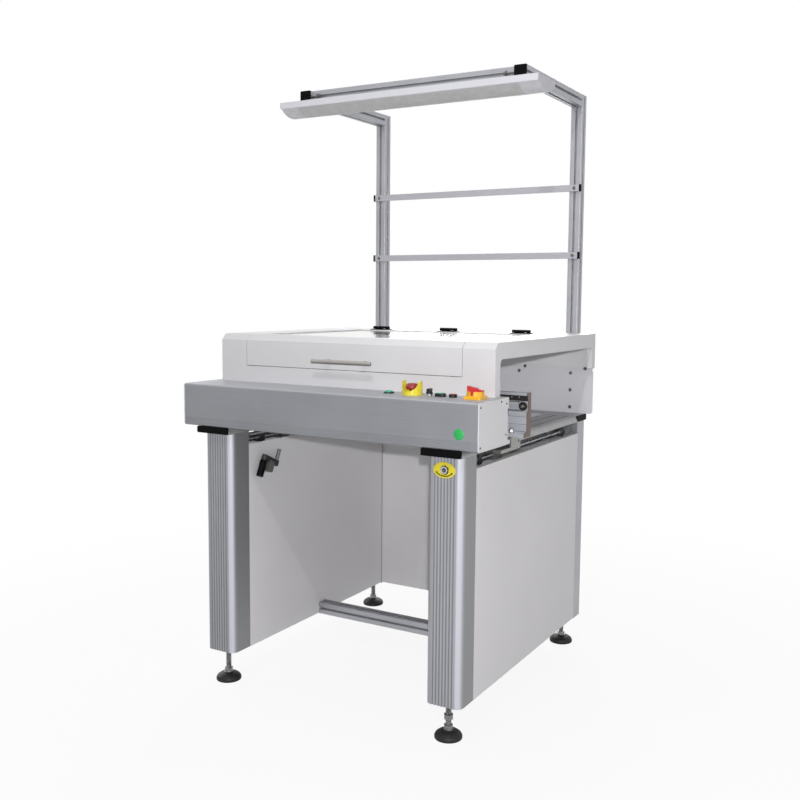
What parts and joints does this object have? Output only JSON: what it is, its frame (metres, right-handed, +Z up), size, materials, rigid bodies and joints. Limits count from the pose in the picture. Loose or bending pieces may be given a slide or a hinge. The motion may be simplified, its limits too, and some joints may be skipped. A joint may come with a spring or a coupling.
{
  "type": "inspection conveyor workstation",
  "caption": "Board inspection conveyor workstation: belt rails of adjustable width on a profile frame, with a windowed lift-up hood, controls, and a lamp on a rear gantry.",
  "frame": {"origin": "on the floor, at the middle of the bounding box", "axes": "+X along the conveyor to the operator's right, +Y away from the operator, +Z up"},
  "size_m": [1.004, 1, 1.886],
  "materials": {
    "anodised_profile": "satin",
    "machined_aluminium": "satin",
    "zinc_steel": "satin",
    "machined_steel": "polished",
    "chromed_steel": "polished",
    "brushed_steel": "brushed",
    "dark_metal": "painted",
    "grey_paint": "satin",
    "white_paint": "powder-coated",
    "black_plastic": "matt",
    "grey_plastic": "matt",
    "yellow_plastic": "gloss",
    "red_plastic": "gloss",
    "green_plastic": "gloss",
    "green_lens": "gloss",
    "foot_rubber": "matt",
    "belt_rubber": "matt",
    "brown_laminate": "satin",
    "clear_acrylic": "clear gloss",
    "frosted_acrylic": "frosted",
    "led_board": "matt"
  },
  "bodies": {
    "frame": {"front_legs": "anodised_profile", "rear_legs": "anodised_profile", "leg_foot_plates": "zinc_steel", "side_arms": "anodised_profile", "profile_caps": "black_plastic", "rear_cross_beam": "anodised_profile", "lower_stretcher": "anodised_profile", "lower_panels": "white_paint", "crank_clip": "grey_plastic", "beam_cover": "grey_paint", "beam_end_plates": "white_paint", "machine_screws": "zinc_steel", "control_bezels": "black_plastic", "pilot_lens": "green_lens", "estop_shroud": "yellow_plastic", "isolator_base": "yellow_plastic", "drive_motor": "dark_metal", "control_unit": "grey_plastic", "power_inlet": "black_plastic", "front_rail": "anodised_profile", "front_belt": "belt_rubber", "guide_rods": "chromed_steel", "bearing_blocks": "dark_metal", "sync_belt": "belt_rubber", "hood_shell": "white_paint", "rear_plate": "white_paint", "hood_hinges": "black_plastic", "lamp_posts": "anodised_profile", "lamp_arms": "anodised_profile", "lamp_beam": "anodised_profile", "cross_bars": "machined_aluminium", "lamp_housing": "white_paint", "led_strips": "led_board", "lamp_diffuser": "frosted_acrylic", "lamp_end_caps": "grey_plastic"},
    "front_left_foot": {"foot_front_left": "foot_rubber"},
    "front_right_foot": {"foot_front_right": "foot_rubber"},
    "rear_left_foot": {"foot_rear_left": "foot_rubber"},
    "rear_right_foot": {"foot_rear_right": "foot_rubber"},
    "lid": {"lid_panel": "white_paint", "lid_window": "clear_acrylic", "lid_handle": "brushed_steel", "lid_hinges": "black_plastic"},
    "movable_rail": {"rear_rail": "anodised_profile", "rear_belt": "belt_rubber", "rail_end_plates": "brown_laminate", "rail_carriages": "machined_aluminium"},
    "start": {"start_button": "green_plastic"},
    "stop": {"stop_button": "red_plastic"},
    "emergency_stop": {"estop_button": "red_plastic"},
    "selector": {"selector_knob": "black_plastic"},
    "isolator": {"isolator_handle": "red_plastic"},
    "fixed_rail_idler": {"front_idler": "machined_steel"},
    "belt_shaft": {"drive_shaft": "machined_steel"},
    "movable_rail_idler": {"rear_idler": "machined_steel"},
    "movable_rail_drive": {"rear_drive_pulley": "machined_steel"},
    "right_screw": {"lead_screw_right": "chromed_steel"},
    "left_screw": {"lead_screw_left": "chromed_steel"},
    "crank": {"crank_handle": "dark_metal"},
    "crank_grip": {"crank_grip": "black_plastic"}
  },
  "joints": [
    {"name": "front_left_foot_level", "type": "slide", "parent": "frame", "child": "front_left_foot", "axis": [0, 0, 1], "range_m": [-0.015, 0.015]},
    {"name": "front_right_foot_level", "type": "slide", "parent": "frame", "child": "front_right_foot", "axis": [0, 0, 1], "range_m": [-0.015, 0.015]},
    {"name": "rear_left_foot_level", "type": "slide", "parent": "frame", "child": "rear_left_foot", "axis": [0, 0, 1], "range_m": [-0.015, 0.015]},
    {"name": "rear_right_foot_level", "type": "slide", "parent": "frame", "child": "rear_right_foot", "axis": [0, 0, 1], "range_m": [-0.015, 0.015]},
    {"name": "lid_hinge", "type": "hinge", "parent": "frame", "child": "lid", "pos_m": [0, 0.289, 1.0906], "axis": [-1, 0, 0], "range_deg": [0, 100]},
    {"name": "rail_width", "type": "slide", "parent": "frame", "child": "movable_rail", "axis": [0, 1, 0], "range_m": [-0.074, 0.336]},
    {"name": "start_press", "type": "slide", "parent": "frame", "child": "start", "axis": [0, 0, -1], "range_m": [0, 0.0025], "stiffness_N_per_m": 900, "springref_m": -0.002},
    {"name": "stop_press", "type": "slide", "parent": "frame", "child": "stop", "axis": [0, 0, -1], "range_m": [0, 0.0025], "stiffness_N_per_m": 900, "springref_m": -0.002},
    {"name": "emergency_stop_press", "type": "slide", "parent": "frame", "child": "emergency_stop", "axis": [0, 0, -1], "range_m": [0, 0.004]},
    {"name": "selector_turn", "type": "hinge", "parent": "frame", "child": "selector", "pos_m": [0.304, -0.4045, 0.94], "axis": [0, 0, -1], "range_deg": [-45, 45]},
    {"name": "isolator_turn", "type": "hinge", "parent": "frame", "child": "isolator", "pos_m": [0.443, -0.4045, 0.94], "axis": [0, 0, -1], "range_deg": [0, 90]},
    {"name": "shaft_spin", "type": "hinge", "parent": "frame", "child": "belt_shaft", "pos_m": [-0.484, 0, 0.8974], "axis": [0, 1, 0], "continuous": true},
    {"name": "fixed_idler_spin", "type": "hinge", "parent": "frame", "child": "fixed_rail_idler", "pos_m": [0.484, -0.312, 0.8974], "axis": [0, 1, 0], "continuous": true},
    {"name": "movable_idler_spin", "type": "hinge", "parent": "movable_rail", "child": "movable_rail_idler", "pos_m": [0.484, -0.18, 0.8974], "axis": [0, 1, 0], "continuous": true},
    {"name": "movable_drive_spin", "type": "hinge", "parent": "movable_rail", "child": "movable_rail_drive", "pos_m": [-0.484, -0.18, 0.8974], "axis": [0, 1, 0], "continuous": true},
    {"name": "right_screw_turn", "type": "hinge", "parent": "frame", "child": "right_screw", "pos_m": [0.389, 0, 0.75], "axis": [0, 1, 0], "range_deg": [-2665, 12097]},
    {"name": "left_screw_turn", "type": "hinge", "parent": "frame", "child": "left_screw", "pos_m": [-0.389, 0, 0.75], "axis": [0, 1, 0], "range_deg": [-2665, 12097]},
    {"name": "crank_lift", "type": "slide", "parent": "frame", "child": "crank", "axis": [0, 0.4226, 0.9063], "range_m": [0, 0.04]},
    {"name": "crank_grip_spin", "type": "hinge", "parent": "crank", "child": "crank_grip", "pos_m": [-0.321, -0.33419, 0.6982], "axis": [0, 0.4226, 0.9063], "continuous": true}
  ],
  "couplings": [
    {"joint": "right_screw_turn", "follows": "rail_width", "rad_per_m": 628.32},
    {"joint": "left_screw_turn", "follows": "rail_width", "rad_per_m": 628.32},
    {"joint": "fixed_idler_spin", "follows": "shaft_spin", "ratio": 1},
    {"joint": "movable_idler_spin", "follows": "shaft_spin", "ratio": 1},
    {"joint": "movable_drive_spin", "follows": "shaft_spin", "ratio": 1}
  ]
}
